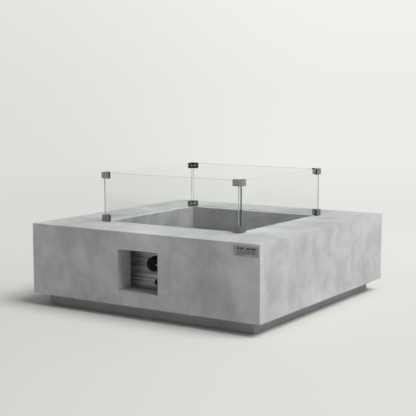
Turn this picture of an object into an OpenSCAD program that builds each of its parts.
// Square cast-concrete gas fire pit with a lift-off glass wind guard and a lift-out grate.
// Millimetres, +Z up, origin at the centre of the footprint on the ground.
// The control niche is in the front face, which looks along -Y.

/* [Concrete body] */
// Width and depth of the square body
body_w = 1000; // [920:10:1100]
// Height of the body above its plinth
body_h = 269; // [262:1:300]
// Thickness of the outer walls
wall_t = 28; // [24:1:34]
// Thickness of the top slab
slab_t = 32; // [26:1:36]
// Chamfer along the outer edges
edge_c = 3; // [1:0.5:5]

/* [Plinth] */
// Height of the underside of the body above the ground
plinth_h = 47; // [40:1:60]
// Distance that the plinth stands back from the body's faces
plinth_inset = 44; // [40:1:48]
// Width of the plinth's wall
plinth_wall = 36; // [32:1:40]

/* [Fire basin] */
// Width of the square basin opening
basin_w = 576; // [560:2:600]
// Thickness of the basin's walls
basin_wall = 24; // [20:1:28]
// Depth from the rim to the ledge that carries the tray
basin_depth = 154; // [150:1:156]
// Width of the ledge
ledge_w = 18; // [12:1:22]
// Thickness of the stainless sheet of the tray
tray_t = 1.5; // [1:0.1:2]
// Height of the tray's turned-up edge
tray_lip = 18; // [10:1:20]

/* [Burner and grate] */
// Radius of the ring burner, to the middle of its tube
ring_r = 150; // [120:5:170]
// Number of flame ports around the ring
ring_ports = 24; // [12:2:30]
// Outer width of the square grate
grate_w = 536; // [500:4:544]
// Number of grate bars
grate_bars_n = 13; // [9:2:17]
// Height of the grate's top above the tray floor
grate_h = 40; // [38:1:42]

/* [Control niche] */
// Width of the niche opening
niche_w = 178; // [170:1:190]
// Height of the niche opening
niche_h = 152; // [146:1:154]
// Sideways place of the niche's centre
niche_x = -4; // [-10:1:10]
// Height of the niche's floor above the ground
niche_z = 99; // [98:1:104]
// Depth from the front face to the steel panel
niche_d = 77; // [74:1:80]
// Thickness of the niche's own walls
niche_wall = 12; // [12:1:14]
// Thickness of the steel panel
panel_t = 1.5; // [1:0.1:2]

/* [Knob and igniter] */
// Sideways place of the knob and of the igniter button
control_x = 28; // [26:1:34]
// Height of the knob's axis above the ground
knob_z = 199; // [196:1:202]
// Radius of the knob's skirt
knob_r = 28.5; // [28:0.5:30]
// Press travel of the knob
knob_travel = 4; // [3:0.5:4]
// Height of the igniter button's axis above the ground
igniter_z = 130; // [126:1:134]
// Radius of the igniter's bezel
igniter_r = 10.5; // [9:0.5:11]
// Press travel of the igniter button
igniter_travel = 3; // [2:0.5:3]

/* [Wind guard] */
// Outer width of the square guard over its clips
guard_w = 626; // [616:2:640]
// Height of the guard above the rim
guard_h = 191; // [160:1:240]
// Thickness of the glass
glass_t = 6; // [5:0.5:6]
// Length of each leg of a clip
clip_leg = 35; // [32:1:40]
// Height of a clip
clip_h = 24; // [20:1:30]
// Thickness of a clip
clip_t = 13; // [13:0.5:15]

/* [Gas inlet] */
// Sideways place of the inlet in the rear wall
inlet_x = 120; // [110:5:150]
// Height of the inlet above the ground
inlet_z = 100; // [94:1:104]
// Radius over the inlet's thread
inlet_r = 7.94; // [7.9:0.01:8]

/* [Name plate] */
// Width of the blank name plate
plate_w = 98; // [80:1:110]
// Height of the blank name plate
plate_h = 36; // [30:1:40]

/* [Hidden] */
$fn = 64;
// Clearance left around screws and pipes in their holes
slack = 0.1;
// Radial clearance of a sliding or turning fit
running = 0.05;
// Extra length that lets a cut break through a surface
over = 1;

// Concrete body
rim_z = plinth_h + body_h;
half_w = body_w / 2;
flange_t = 15;
flange_half = half_w - plinth_inset - plinth_wall;
basin_half = basin_w / 2;
ledge_z = rim_z - basin_depth;
ledge_t = 12;

// Plinth, its bolts and its pads
plinth_half = half_w - plinth_inset;
plinth_lift = 2;
pad_r = 16;
pad_t = 5;
bolt_r = 4;
bolt_head_r = 7;
bolt_head_t = 6;
bolt_seat_z = 12;
bolt_line = plinth_half - plinth_wall / 2;
bolt_spread = 300;
pad_spread = 400;

// Tray, burner and grate
tray_half = basin_half - 3;
tray_z = ledge_z;
floor_z = tray_z + tray_t;
drain_r = 4;
drain_place = 215;
ring_z = floor_z + 16.5;
ring_tube_r = 9;
ring_bore_r = 7.5;
spoke_r = 7;
spoke_bore_r = 5.5;
hub_r = 14;
hub_flange_r = 20;
hub_flange_t = 3.5;
hub_pin_r = 10;
hub_pin_len = 23.5;
hub_bore_r = 6;
port_r = 1.5;
locknut_t = 10;
mixer_r = 14;
mixer_len = 40;
grate_z = floor_z + grate_h;
grate_bar_r = 4;
grate_edge = 12;
grate_edge_t = 8;
grate_leg_r = 7;
grate_cup_t = 2;
grate_stay_t = 5;

// Control panel
panel_y = -half_w + niche_d;
niche_x0 = niche_x - niche_w / 2;
niche_x1 = niche_x + niche_w / 2;
niche_z1 = niche_z + niche_h;
panel_screw_r = 2;
panel_screw_head = 4;
panel_screw_len = 12;

// Gas valve, with lengths measured forward from the panel's front face
neck_r = 8;
neck_front = 8;
valve_r = 17;
valve_back = -57;
valve_flange_r = 14;
valve_flange_t = 3.5;
chamber_r = 9;
chamber_front = -22;
spool_len = 16;
spool_gap = 0.3;
stem_r = 4;
stem_back = -29;
stem_front = 24;
stem_flat = 1.2;
stem_flat_from = 15;
cap_t = 5;
cap_spigot = 3;
port_boss_r = 9;
port_reach = 24;
port_depth = 8;
inlet_port_u = -30;
outlet_port_u = -46;
bezel_t = 1.5;
nut_t = 5.5;
nut_r = 13;

// Knob
knob_back = bezel_t + knob_travel + 0.5;
knob_front = 28;
knob_skirt_t = 5;
knob_grip_r = 27;
knob_hollow_r = 20;
knob_hollow_end = 15;
knob_grooves = 24;
groove_r = 1.2;
groove_gap = 1;
pointer_w = 2;
pointer_len = 9;
pointer_t = 0.8;
pointer_low = 13.5;
pointer_turn = -90;

// Igniter
bezel_front = 3;
barrel_r = 8;
barrel_back = -40;
button_r = 6.8;
button_front = 7;
button_len = 20;
igniter_bore_back = -28;
igniter_nut_t = 5;
terminal_r = 2.5;
terminal_len = 6;

// Pipes and leads
pipe_r = 6;
pipe_bore_r = 5;
pipe_bend = 22;
feed_low_z = 86;
feed_side_x = -50;
lead_r = 1.5;
lead_sides = 8;
lead_steps = 18;
coil_steps = 14;
coil_sides = 6;
electrode_x = 5;
probe_x = 45;
probe_y = -ring_r - 22;
probe_r = 3.5;
probe_low_z = ledge_z - 10;
probe_top_z = ring_z + 4;

// Gas inlet
inlet_hole_r = 24;
inlet_plate_w = 72;
inlet_plate_t = 2;
inlet_neck_r = 10;
inlet_nut_t = 6;
inlet_thread_len = 16;
inlet_screw_spread = 56;

// Guard
guard_half = guard_w / 2;
pad_lift = 1.5;
clip_wall = 2.5;
clip_cap = 2;
slot_t = clip_t - 2 * clip_wall;
glass_line = guard_half - clip_t / 2;
glass_end = guard_half - 12;
slot_end = glass_end + 0.5;
clip_low_z = rim_z + pad_lift;
clip_high_z = rim_z + guard_h - clip_h;
glass_low_z = clip_low_z + clip_cap;
glass_high_z = rim_z + guard_h - clip_cap;
gasket_t = (slot_t - glass_t) / 2;
gasket_len = 18;
set_screw_r = 2;
set_head_r = 4;
set_head_t = 2;
set_screw_in = 23.5;

// Name plate
plate_t = 1;
plate_right = half_w - 6;
plate_top = rim_z - 9;
rivet_r = 1.5;

concrete = "#b4b6b4";
dark_concrete = "#6f706f";
steel = "#a9abab";
black = "#1c1c1d";
brass = "#b8924e";
clip_grey = "#77787a";
glass_tint = "#cfe0da";

// ---- Shared shapes ----

// A box centred on the Z axis, from z0 to z1
module slab(w, d, z0, z1) {
    translate([-w / 2, -d / 2, z0])
        cube([w, d, z1 - z0]);
}

// A box between two opposite corners
module box_between(low, high) {
    translate(low)
        cube(high - low);
}

// A square with its corners cut off, for the three views of a chamfered block
module cut_square(w, h, c) {
    polygon([
        [c - w / 2, -h / 2], [w / 2 - c, -h / 2], [w / 2, c - h / 2], [w / 2, h / 2 - c],
        [w / 2 - c, h / 2], [c - w / 2, h / 2], [-w / 2, h / 2 - c], [-w / 2, c - h / 2]
    ]);
}

// A block with all twelve edges chamfered, standing on z0
module chamfered_block(w, h, c, z0) {
    translate([0, 0, z0 + h / 2])
        intersection() {
            linear_extrude(h, center = true)
                cut_square(w, w, c);
            rotate([90, 0, 0])
                linear_extrude(w, center = true)
                    cut_square(w, h, c);
            rotate([90, 0, 90])
                linear_extrude(w, center = true)
                    cut_square(w, h, c);
        }
}

// A cylinder along Z from z0 to z1
module rod(r, z0, z1) {
    translate([0, 0, z0])
        cylinder(r = r, h = z1 - z0);
}

// A hexagon bar along Z, of the given radius over its corners
module hex_bar(r, z0, z1) {
    translate([0, 0, z0])
        cylinder(r = r, h = z1 - z0, $fn = 6);
}

// Places children on the panel's front face, with +Z pointing out towards the front
module on_panel(x, z) {
    translate([x, panel_y, z])
        rotate([90, 0, 0])
            children();
}

// The four corners of a square of half width h
function corners(h) = [[h, -h], [h, h], [-h, h], [-h, -h]];

// Repeats children at the four quarter turns about Z
module four_turns() {
    for (turn = [0 : 3])
        rotate(90 * turn)
            children();
}

function unit(v) = v / norm(v);

// Places a round bar's profile from one point to another
module along(from, to) {
    axis = unit(to - from);
    side = unit(abs(axis.z) > 0.9 ? [1, 0, 0] : cross([0, 0, 1], axis));
    up = cross(axis, side);
    multmatrix([
        [side.x, up.x, axis.x, from.x],
        [side.y, up.y, axis.y, from.y],
        [side.z, up.z, axis.z, from.z],
        [0, 0, 0, 1]
    ])
        linear_extrude(norm(to - from))
            children();
}

// A quarter bend round a corner, from direction u to direction v
module quarter_bend(corner, u, v, bend_r, r) {
    centre = corner - u * bend_r + v * bend_r;
    normal = cross(-v, u);
    multmatrix([
        [-v.x, u.x, normal.x, centre.x],
        [-v.y, u.y, normal.y, centre.y],
        [-v.z, u.z, normal.z, centre.z],
        [0, 0, 0, 1]
    ])
        rotate_extrude(angle = 90)
            translate([bend_r, 0])
                circle(r = r);
}

// A solid round bar through square-cornered points, with each corner turned into a quarter bend
module bent_bar(points, r, bend_r) {
    last = len(points) - 1;
    for (i = [0 : last - 1]) {
        u = unit(points[i + 1] - points[i]);
        from = i == 0 ? points[0] : points[i] + u * bend_r;
        to = i == last - 1 ? points[last] : points[i + 1] - u * bend_r;
        along(from, to)
            circle(r = r);
    }
    for (i = [1 : last - 1])
        quarter_bend(points[i], unit(points[i] - points[i - 1]), unit(points[i + 1] - points[i]), bend_r, r);
}

// A point on the cubic curve of four control points
function curve_point(p, t) =
    pow(1 - t, 3) * p[0] + 3 * pow(1 - t, 2) * t * p[1] + 3 * (1 - t) * t * t * p[2] + pow(t, 3) * p[3];

// The direction of that curve
function curve_dir(p, t) =
    unit(pow(1 - t, 2) * (p[1] - p[0]) + 2 * (1 - t) * t * (p[2] - p[1]) + t * t * (p[3] - p[2]));

// A ring of points round a centre, square to the direction that the tube runs in
function ring_of(centre, run, side, r, sides) =
    let (up = cross(side, run))
    [for (k = [0 : sides - 1]) centre + r * (cos(360 * k / sides) * side + sin(360 * k / sides) * up)];

// A closed tube skinned over rings of points
module skinned_tube(rings) {
    sides = len(rings[0]);
    last = len(rings) - 1;
    walls = [
        for (i = [0 : last - 1], k = [0 : sides - 1])
            let (next = (k + 1) % sides)
            [i * sides + k, i * sides + next, (i + 1) * sides + next, (i + 1) * sides + k]
    ];
    start_cap = [for (k = [sides - 1 : -1 : 0]) k];
    end_cap = [for (k = [0 : sides - 1]) last * sides + k];
    polyhedron([for (ring = rings) each ring], concat(walls, [start_cap, end_cap]));
}

// One ring of a lead, at a share t along a cubic curve, with its sides kept level with X
function lead_ring(p, t) =
    let (run = curve_dir(p, t), level = cross([1, 0, 0], run))
    ring_of(curve_point(p, t), run, unit(cross(run, level)), lead_r, lead_sides);

// A flexible lead along a chain of cubic curves
module lead(curves) {
    skinned_tube([
        for (c = curves, i = [0 : lead_steps - 1]) lead_ring(c, i / lead_steps),
        lead_ring(curves[len(curves) - 1], 1)
    ]);
}

// A compression spring along Z
module coil_spring(r, wire_r, z0, z1, turns) {
    steps = coil_steps * turns;
    rise = z1 - z0 - 2 * wire_r;
    skinned_tube([
        for (i = [0 : steps])
            let (
                out = [cos(360 * i / coil_steps), sin(360 * i / coil_steps), 0],
                run = unit([-r * out.y, r * out.x, rise / (2 * PI * turns)])
            )
            ring_of(r * out + [0, 0, z0 + wire_r + rise * i / steps], run, out, wire_r, coil_sides)
    ]);
}

// ---- Concrete body and plinth ----

module plinth_bolt_places() {
    four_turns()
        for (x = [-bolt_spread, bolt_spread])
            translate([x, -bolt_line, 0])
                children();
}

module inlet_screw_places() {
    for (dx = [-0.5, 0.5], dz = [-0.5, 0.5])
        translate([inlet_x + dx * inlet_screw_spread, half_w - wall_t, inlet_z + dz * inlet_screw_spread])
            rotate([90, 0, 0])
                children();
}

module panel_screw_places() {
    for (x = [niche_x0 - niche_wall / 2, niche_x1 + niche_wall / 2])
        for (z = [niche_z - niche_wall / 2, niche_z1 + niche_wall / 2])
            on_panel(x, z)
                children();
}

module name_plate_places() {
    for (side = [0, 1])
        translate([plate_right - 5 - side * (plate_w - 10), -half_w, plate_top - plate_h / 2])
            rotate([-90, 0, 0])
                children();
}

module body_hollow() {
    inner = body_w - 2 * wall_t;
    difference() {
        slab(inner, inner, plinth_h + flange_t, rim_z - slab_t);
        slab(basin_w + 2 * basin_wall, basin_w + 2 * basin_wall, ledge_z - ledge_t, rim_z);
        box_between(
            [niche_x0 - niche_wall, -half_w, niche_z - niche_wall],
            [niche_x1 + niche_wall, panel_y, niche_z1 + niche_wall]
        );
    }
}

module concrete_body() {
    color(concrete)
    difference() {
        chamfered_block(body_w, body_h, edge_c, plinth_h);
        body_hollow();
        slab(2 * flange_half, 2 * flange_half, plinth_h - over, plinth_h + flange_t + over);
        slab(basin_w, basin_w, ledge_z, rim_z + over);
        slab(basin_w - 2 * ledge_w, basin_w - 2 * ledge_w, ledge_z - ledge_t - over, ledge_z + over);
        box_between([niche_x0, -half_w - over, niche_z], [niche_x1, panel_y + over, niche_z1]);
        box_between(
            [plate_right - plate_w, -half_w - over, plate_top - plate_h],
            [plate_right, -half_w + plate_t, plate_top]
        );
        name_plate_places()
            rod(rivet_r + slack, 0, 6);
        plinth_bolt_places()
            rod(bolt_r + slack, plinth_h - over, plinth_h + flange_t - 3);
        panel_screw_places()
            rod(panel_screw_r + slack, -over, panel_screw_len - 1);
        translate([inlet_x, half_w - wall_t - over, inlet_z])
            rotate([-90, 0, 0])
                rod(inlet_hole_r, 0, wall_t + 2 * over);
        inlet_screw_places()
            rod(panel_screw_r + slack, -panel_screw_len, over);
    }
}

module plinth() {
    outer = 2 * plinth_half;
    inner = outer - 2 * plinth_wall;
    color(dark_concrete)
    difference() {
        slab(outer, outer, plinth_lift, plinth_h);
        slab(inner, inner, 0, plinth_h + over);
        plinth_bolt_places() {
            rod(bolt_r + slack, 0, plinth_h + over);
            rod(bolt_head_r + 1, 0, bolt_seat_z);
        }
        foot_pad_places()
            rod(pad_r + slack, 0, pad_t);
    }
}

module plinth_bolts() {
    color(steel)
    plinth_bolt_places()
        union() {
            rod(bolt_r, bolt_seat_z - over, plinth_h + flange_t - 4);
            hex_bar(bolt_head_r, bolt_seat_z - bolt_head_t, bolt_seat_z);
        }
}

module foot_pad_places() {
    four_turns()
        for (x = [-pad_spread, 0])
            translate([x, -bolt_line, 0])
                children();
}

module foot_pads() {
    color(black)
    foot_pad_places()
        rod(pad_r, 0, pad_t);
}

// ---- Control panel and name plate ----

module control_panel() {
    color(steel)
    difference() {
        box_between(
            [niche_x0 - niche_wall, panel_y, niche_z - niche_wall],
            [niche_x1 + niche_wall, panel_y + panel_t, niche_z1 + niche_wall]
        );
        on_panel(control_x, knob_z)
            rod(neck_r + slack, -panel_t - over, over);
        on_panel(control_x, igniter_z)
            rod(barrel_r + slack, -panel_t - over, over);
        panel_screw_places()
            rod(panel_screw_r + slack, -panel_t - over, over);
    }
}

module panel_screws() {
    color(steel)
    panel_screw_places()
        union() {
            rod(panel_screw_r, -panel_t - over, panel_screw_len - 2);
            rod(panel_screw_head, -panel_t - 2.5, -panel_t);
        }
}

module name_plate() {
    color(clip_grey)
    difference() {
        box_between(
            [plate_right - plate_w, -half_w, plate_top - plate_h],
            [plate_right, -half_w + plate_t, plate_top]
        );
        name_plate_places()
            rod(rivet_r + slack, -over, plate_t + over);
    }
}

module plate_rivets() {
    color(steel)
    name_plate_places()
        rod(rivet_r, 0, 5.5);
}

// ---- Tray and burner ----

module burner_tray() {
    color(steel)
    difference() {
        slab(2 * tray_half, 2 * tray_half, tray_z, tray_z + tray_lip);
        slab(2 * (tray_half - tray_t), 2 * (tray_half - tray_t), floor_z, tray_z + tray_lip + over);
        rod(hub_pin_r + slack, tray_z - over, floor_z + over);
        for (p = corners(drain_place))
            translate([p.x, p.y, 0])
                rod(drain_r, tray_z - over, floor_z + over);
        for (x = [electrode_x, probe_x])
            translate([x, probe_y, 0])
                rod(probe_r + slack, tray_z - over, floor_z + over);
        bracket_screw_places()
            rod(panel_screw_r + slack, tray_z - over, floor_z + over);
    }
}

// The tube of the burner: a ring, two spokes and a hub
module burner_tube(ring_tube, spoke_tube, hub_tube, hub_top) {
    translate([0, 0, ring_z])
        rotate_extrude()
            translate([ring_r, 0])
                circle(r = ring_tube);
    translate([-ring_r, 0, ring_z])
        rotate([0, 90, 0])
            rod(spoke_tube, 0, 2 * ring_r);
    rod(hub_tube, floor_z + hub_flange_t - over, hub_top);
}

module burner_ring() {
    hub_top = ring_z + ring_tube_r;
    color(steel)
    difference() {
        union() {
            burner_tube(ring_tube_r, spoke_r, hub_r, hub_top);
            rod(hub_flange_r, floor_z, floor_z + hub_flange_t);
            rod(hub_pin_r, floor_z - hub_pin_len, floor_z + over);
        }
        burner_tube(ring_bore_r, spoke_bore_r, hub_r - 4, hub_top - 2);
        rod(hub_bore_r, floor_z - hub_pin_len - over, floor_z + hub_flange_t + over);
        for (i = [0 : ring_ports - 1])
            rotate(360 * (i + 0.5) / ring_ports)
                translate([ring_r, 0, 0])
                    rod(port_r, ring_z, ring_z + ring_tube_r + over);
    }
}

module burner_locknut() {
    color(brass)
    difference() {
        hex_bar(17, tray_z - locknut_t, tray_z);
        rod(hub_pin_r + slack, tray_z - locknut_t - over, tray_z + over);
    }
}

module air_mixer() {
    top = tray_z - locknut_t;
    low = top - mixer_len;
    color(brass)
    difference() {
        rod(mixer_r, low, top);
        rod(hub_pin_r + slack, floor_z - hub_pin_len, top + over);
        rod(4, low, top);
        rod(pipe_r + slack, low - over, low + port_depth);
        for (turn = [0, 90])
            rotate(turn)
                translate([-mixer_r - over, 0, low + 16])
                    rotate([0, 90, 0])
                        rod(4, 0, 2 * (mixer_r + over));
    }
}

module burner_feed_pipe() {
    mixer_low = tray_z - locknut_t - mixer_len;
    out_y = panel_y - outlet_port_u;
    points = [
        [control_x - port_reach + port_depth, out_y, knob_z],
        [feed_side_x, out_y, knob_z],
        [feed_side_x, out_y, feed_low_z],
        [feed_side_x, 0, feed_low_z],
        [0, 0, feed_low_z],
        [0, 0, mixer_low + port_depth]
    ];
    color(brass)
    difference() {
        bent_bar(points, pipe_r, pipe_bend);
        bent_bar(points, pipe_bore_r, pipe_bend);
    }
}

// ---- Gas valve ----

module valve_body() {
    color(steel)
    on_panel(control_x, knob_z)
        difference() {
            union() {
                rod(valve_r, valve_back, -panel_t - valve_flange_t);
                rod(valve_flange_r, -panel_t - valve_flange_t - over, -panel_t);
                rod(neck_r, -panel_t - over, neck_front);
                translate([0, 0, inlet_port_u])
                    rotate([0, 90, 0])
                        rod(port_boss_r, 0, port_reach);
                translate([0, 0, outlet_port_u])
                    rotate([0, -90, 0])
                        rod(port_boss_r, 0, port_reach);
            }
            rod(chamber_r + running, valve_back - over, chamber_front);
            rod(stem_r + running, chamber_front - over, neck_front + over);
            translate([0, 0, inlet_port_u])
                rotate([0, 90, 0]) {
                    rod(3, 0, port_reach);
                    rod(pipe_r + slack, port_reach - port_depth, port_reach + over);
                }
            translate([0, 0, outlet_port_u])
                rotate([0, -90, 0]) {
                    rod(3, 0, port_reach);
                    rod(pipe_r + slack, port_reach - port_depth, port_reach + over);
                }
        }
}

module valve_end_cap() {
    color(steel)
    on_panel(control_x, knob_z)
        difference() {
            union() {
                rod(valve_r, valve_back - cap_t, valve_back);
                rod(chamber_r - slack, valve_back - over, valve_back + cap_spigot);
            }
            translate([9, 0, 0])
                rod(lead_r + slack, valve_back - cap_t - over, valve_back - cap_t + 4);
        }
}

module valve_nut() {
    color(steel)
    on_panel(control_x, knob_z)
        difference() {
            hex_bar(nut_r, bezel_t, bezel_t + nut_t);
            rod(neck_r + slack, 0, neck_front);
        }
}

module knob_bezel() {
    color(black)
    on_panel(control_x, knob_z)
        difference() {
            rod(knob_r + 0.5, 0, bezel_t);
            rod(neck_r + slack, -over, bezel_t + over);
        }
}

module valve_spring() {
    spool_back = chamber_front - spool_gap - spool_len;
    color(steel)
    on_panel(control_x, knob_z)
        coil_spring(6.5, 0.6, valve_back + cap_spigot, spool_back, 5);
}

module valve_spool() {
    front = chamber_front - spool_gap;
    color(brass)
    on_panel(control_x, knob_z)
        difference() {
            rod(chamber_r, front - spool_len, front);
            rod(stem_r + running, stem_back - 0.5, front + over);
        }
}

module valve_stem() {
    color(steel)
    on_panel(control_x, knob_z)
        difference() {
            rod(stem_r, stem_back, stem_front);
            translate([stem_r - stem_flat, -stem_r - over, stem_flat_from])
                cube([stem_r, 2 * (stem_r + over), stem_front]);
        }
}

module control_knob() {
    grip_low = knob_back + knob_skirt_t;
    color(black)
    on_panel(control_x, knob_z)
        difference() {
            union() {
                rod(knob_r, knob_back, grip_low);
                rod(knob_grip_r, grip_low - over, knob_front);
            }
            rod(knob_hollow_r, knob_back - over, knob_hollow_end);
            intersection() {
                rod(stem_r + slack, knob_hollow_end - over, stem_front + 0.5);
                translate([-stem_r - over, -stem_r - over, knob_hollow_end - 2 * over])
                    cube([2 * stem_r + over - stem_flat + slack, 2 * (stem_r + over), stem_front]);
            }
            for (i = [0 : knob_grooves - 1])
                rotate(360 * (i + 0.5) / knob_grooves)
                    translate([knob_grip_r + 0.4, 0, 0])
                        rod(groove_r, grip_low + groove_gap, knob_front - groove_gap);
            rotate(pointer_turn)
                translate([-pointer_w / 2, pointer_low, knob_front - pointer_t])
                    cube([pointer_w, pointer_len, pointer_t + over]);
        }
}

module knob_pointer() {
    color("white")
    on_panel(control_x, knob_z)
        rotate(pointer_turn)
            translate([-pointer_w / 2 + running, pointer_low + running, knob_front - pointer_t])
                cube([pointer_w - 2 * running, pointer_len - 2 * running, pointer_t]);
}

// ---- Igniter ----

module igniter_housing() {
    color(black)
    on_panel(control_x, igniter_z)
        difference() {
            union() {
                rod(igniter_r, 0, bezel_front);
                rod(barrel_r, barrel_back, over);
            }
            rod(button_r + running, igniter_bore_back, bezel_front + over);
            rod(terminal_r + slack, barrel_back - over, barrel_back + 4);
        }
}

module igniter_nut() {
    color(steel)
    on_panel(control_x, igniter_z)
        difference() {
            hex_bar(12, -panel_t - igniter_nut_t, -panel_t);
            rod(barrel_r + slack, -panel_t - igniter_nut_t - over, 0);
        }
}

module igniter_button() {
    color(black)
    on_panel(control_x, igniter_z)
        union() {
            rod(button_r, button_front - button_len, button_front - 1);
            translate([0, 0, button_front - 1])
                cylinder(r1 = button_r, r2 = button_r - 1, h = 1);
        }
}

module igniter_spring() {
    color(steel)
    on_panel(control_x, igniter_z)
        coil_spring(4.8, 0.5, igniter_bore_back, button_front - button_len, 6);
}

module igniter_terminal() {
    color(brass)
    on_panel(control_x, igniter_z)
        rod(terminal_r, barrel_back - terminal_len, barrel_back + 4);
}

module bracket_screw_places() {
    for (x = [electrode_x + 10, probe_x - 10])
        translate([x, probe_y - 7, 0])
            children();
}

module electrode_bracket() {
    color(steel)
    difference() {
        box_between([electrode_x - 12, probe_y - 13, floor_z], [probe_x + 12, probe_y + 8, floor_z + 2]);
        for (x = [electrode_x, probe_x])
            translate([x, probe_y, 0])
                rod(probe_r + slack, floor_z - over, floor_z + 2 + over);
        bracket_screw_places()
            rod(panel_screw_r + slack, floor_z - over, floor_z + 2 + over);
    }
}

module bracket_screws() {
    color(steel)
    bracket_screw_places()
        union() {
            rod(panel_screw_r, tray_z - 4, floor_z + 2 + over);
            rod(panel_screw_head, floor_z + 2, floor_z + 4);
        }
}

module electrode_insulator() {
    color("white")
    translate([electrode_x, probe_y, 0])
        difference() {
            rod(probe_r, probe_low_z, probe_top_z - 6);
            rod(0.8 + slack, probe_low_z - over, probe_top_z);
        }
}

module electrode_rod() {
    color(steel)
    translate([electrode_x, probe_y, 0])
        rod(0.8, probe_low_z, probe_top_z);
}

module thermocouple() {
    color(brass)
    translate([probe_x, probe_y, 0])
        union() {
            rod(probe_r, probe_low_z, probe_top_z - 8);
            rod(2.2, probe_top_z - 9, probe_top_z);
        }
}

module ignition_lead() {
    start = [control_x, panel_y - barrel_back + terminal_len, igniter_z];
    middle = [14, -290, 112];
    end = [electrode_x, probe_y, probe_low_z];
    color("white")
    lead([
        [start, start + [0, 30, 0], middle - [0, 25, 0], middle],
        [middle, middle + [0, 60, 0], end - [0, 0, 34], end]
    ]);
}

module thermocouple_lead() {
    start = [control_x + 9, panel_y - valve_back + cap_t - 4, knob_z];
    drop = [control_x + 13, -330, 150];
    middle = [probe_x + 1, -290, 122];
    end = [probe_x, probe_y, probe_low_z];
    color(brass)
    lead([
        [start, start + [0, 26, 0], drop + [0, 0, 30], drop],
        [drop, drop - [0, 0, 18], middle - [0, 18, 0], middle],
        [middle, middle + [0, 60, 0], end - [0, 0, 30], end]
    ]);
}

// ---- Gas inlet ----

module gas_supply_pipe() {
    in_y = panel_y - inlet_port_u;
    points = [
        [control_x + port_reach - port_depth, in_y, knob_z],
        [inlet_x, in_y, knob_z],
        [inlet_x, in_y, inlet_z],
        [inlet_x, half_w - wall_t - 22, inlet_z]
    ];
    color(brass)
    difference() {
        bent_bar(points, pipe_r, pipe_bend);
        bent_bar(points, pipe_bore_r, pipe_bend);
    }
}

// Places children at the inner face of the rear wall, with +Z pointing out of the back
module at_inlet() {
    translate([inlet_x, half_w - wall_t, inlet_z])
        rotate([-90, 0, 0])
            children();
}

module inlet_plate() {
    color(steel)
    difference() {
        at_inlet()
            slab(inlet_plate_w, inlet_plate_w, -inlet_plate_t, 0);
        at_inlet()
            rod(inlet_neck_r + slack, -inlet_plate_t - over, over);
        inlet_screw_places()
            rod(panel_screw_r + slack, -over, inlet_plate_t + over);
    }
}

module inlet_screws() {
    color(steel)
    inlet_screw_places()
        union() {
            rod(panel_screw_r, 1 - panel_screw_len, inlet_plate_t + over);
            rod(panel_screw_head, inlet_plate_t, inlet_plate_t + 2.5);
        }
}

module inlet_fitting() {
    color(brass)
    at_inlet()
        difference() {
            union() {
                hex_bar(15, -inlet_plate_t - 12, -inlet_plate_t);
                rod(port_boss_r, -30, -inlet_plate_t - 11);
                rod(inlet_neck_r, -inlet_plate_t - over, inlet_nut_t);
                rod(inlet_r, inlet_nut_t - over, inlet_nut_t + inlet_thread_len);
            }
            rod(pipe_r + slack, -30 - over, -22);
            rod(pipe_bore_r, -30, inlet_nut_t + inlet_thread_len + over);
        }
}

module inlet_nut() {
    color(brass)
    at_inlet()
        difference() {
            hex_bar(15, 0, inlet_nut_t);
            rod(inlet_neck_r + slack, -over, inlet_nut_t + over);
        }
}

// ---- Grate ----

module grate_frame() {
    inner = grate_w - 2 * grate_edge;
    pitch = inner / (grate_bars_n + 1);
    color(black)
    difference() {
        slab(grate_w, grate_w, grate_z - grate_edge_t, grate_z);
        slab(inner, inner, grate_z - grate_edge_t - over, grate_z + over);
        grate_bar_places(pitch)
            rod(grate_bar_r + slack, -inner / 2 - 7, inner / 2 + 7);
        for (p = corners(grate_w / 2 - grate_edge / 2))
            translate([p.x, p.y, 0])
                rod(3 + slack, grate_z - grate_edge_t - over, grate_z - 3);
    }
}

module grate_bar_places(pitch) {
    for (i = [1 : grate_bars_n])
        translate([(i - (grate_bars_n + 1) / 2) * pitch, 0, grate_z - grate_edge_t / 2 - 0.5])
            rotate([90, 0, 0])
                children();
}

module grate_bars() {
    inner = grate_w - 2 * grate_edge;
    pitch = inner / (grate_bars_n + 1);
    color(black)
    grate_bar_places(pitch)
        rod(grate_bar_r - 0.5, -inner / 2 - 6, inner / 2 + 6);
}

module grate_stays() {
    inner = grate_w - 2 * grate_edge;
    low = grate_z - grate_edge_t - grate_stay_t;
    color(black)
    for (y = [-105, 105])
        translate([0, y, 0])
            slab(grate_w - 4, 10, low, grate_z - grate_edge_t);
}

module grate_legs() {
    color(black)
    for (p = corners(grate_w / 2 - grate_edge / 2))
        translate([p.x, p.y, 0])
            union() {
                rod(grate_leg_r - 2, floor_z + grate_cup_t, grate_z - grate_edge_t);
                rod(3, grate_z - grate_edge_t - over, grate_z - 3.5);
            }
}

module grate_foot_cups() {
    color(steel)
    for (p = corners(grate_w / 2 - grate_edge / 2))
        translate([p.x, p.y, 0])
            difference() {
                rod(grate_leg_r, floor_z, floor_z + 9);
                rod(grate_leg_r - 2 + slack, floor_z + grate_cup_t, floor_z + 10);
            }
}

// ---- Wind guard ----

// One glass panel on the front side of the guard
module glass_panel() {
    color(glass_tint, 0.4)
    box_between(
        [-glass_end, -glass_line - glass_t / 2, glass_low_z],
        [glass_end, -glass_line + glass_t / 2, glass_high_z]
    );
}

module glass_front() {
    glass_panel();
}

module glass_right() {
    rotate(90)
        glass_panel();
}

module glass_back() {
    rotate(180)
        glass_panel();
}

module glass_left() {
    rotate(270)
        glass_panel();
}

// Two copies mirrored across the diagonal of the front right corner
module both_legs() {
    children();
    mirror([1, 1, 0])
        children();
}

// The centre of a set screw on the inner face of a clip's front leg, with +Z pointing inwards
module set_screw_place(z) {
    translate([guard_half - set_screw_in, -guard_half + clip_t, z])
        rotate([-90, 0, 0])
            children();
}

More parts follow.
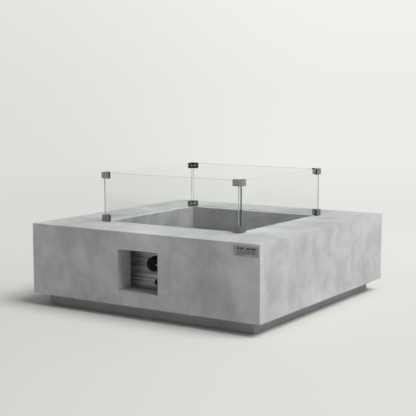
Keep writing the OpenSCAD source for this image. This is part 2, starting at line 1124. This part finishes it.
// One L-shaped clip at the front right corner; the glass slots stay open at the side away from the cap
module clip(z0, slot_low, slot_high) {
    difference() {
        both_legs()
            box_between([guard_half - clip_leg, -guard_half, z0], [guard_half, -guard_half + clip_t, z0 + clip_h]);
        both_legs()
            box_between(
                [guard_half - clip_leg - over, -guard_half + clip_wall, slot_low],
                [slot_end, -guard_half + clip_t - clip_wall, slot_high]
            );
        both_legs()
            set_screw_place(z0 + clip_h / 2)
                rod(set_screw_r + slack, -clip_wall - over, over);
    }
}

module top_clips() {
    color(clip_grey)
    four_turns()
        clip(clip_high_z, clip_high_z - over, glass_high_z);
}

module bottom_clips() {
    color(clip_grey)
    four_turns()
        clip(clip_low_z, glass_low_z, clip_low_z + clip_h + over);
}

module clip_gaskets() {
    side = glass_t / 2;
    color(black)
    four_turns()
        both_legs()
            for (z = [clip_low_z + 3, clip_high_z + 3], y = [-glass_line - side - gasket_t, -glass_line + side])
                box_between(
                    [glass_end - gasket_len, y, z],
                    [glass_end - over, y + gasket_t, z + clip_h - 6]
                );
}

module clip_screws() {
    color(steel)
    four_turns()
        both_legs()
            for (z = [clip_low_z + clip_h / 2, clip_high_z + clip_h / 2])
                set_screw_place(z)
                    difference() {
                        union() {
                            rod(set_screw_r, -clip_wall, over);
                            rod(set_head_r, 0, set_head_t);
                        }
                        hex_bar(1.5, set_head_t - 1.2, set_head_t + over);
                    }
}

module guard_pads() {
    color(black)
    four_turns()
        translate([guard_half - clip_t / 2 - 4, -guard_half + clip_t / 2 + 4, 0])
            rod(5, rim_z, clip_low_z);
}

concrete_body();
plinth();
plinth_bolts();
foot_pads();
control_panel();
panel_screws();
name_plate();
plate_rivets();
burner_tray();
burner_ring();
burner_locknut();
air_mixer();
burner_feed_pipe();
valve_body();
valve_end_cap();
valve_nut();
valve_spring();
valve_spool();
valve_stem();
knob_bezel();
control_knob();
knob_pointer();
igniter_housing();
igniter_nut();
igniter_spring();
igniter_button();
igniter_terminal();
electrode_bracket();
bracket_screws();
electrode_insulator();
electrode_rod();
thermocouple();
ignition_lead();
thermocouple_lead();
gas_supply_pipe();
inlet_plate();
inlet_screws();
inlet_fitting();
inlet_nut();
grate_frame();
grate_bars();
grate_stays();
grate_legs();
grate_foot_cups();
glass_front();
glass_right();
glass_back();
glass_left();
top_clips();
bottom_clips();
clip_gaskets();
clip_screws();
guard_pads();
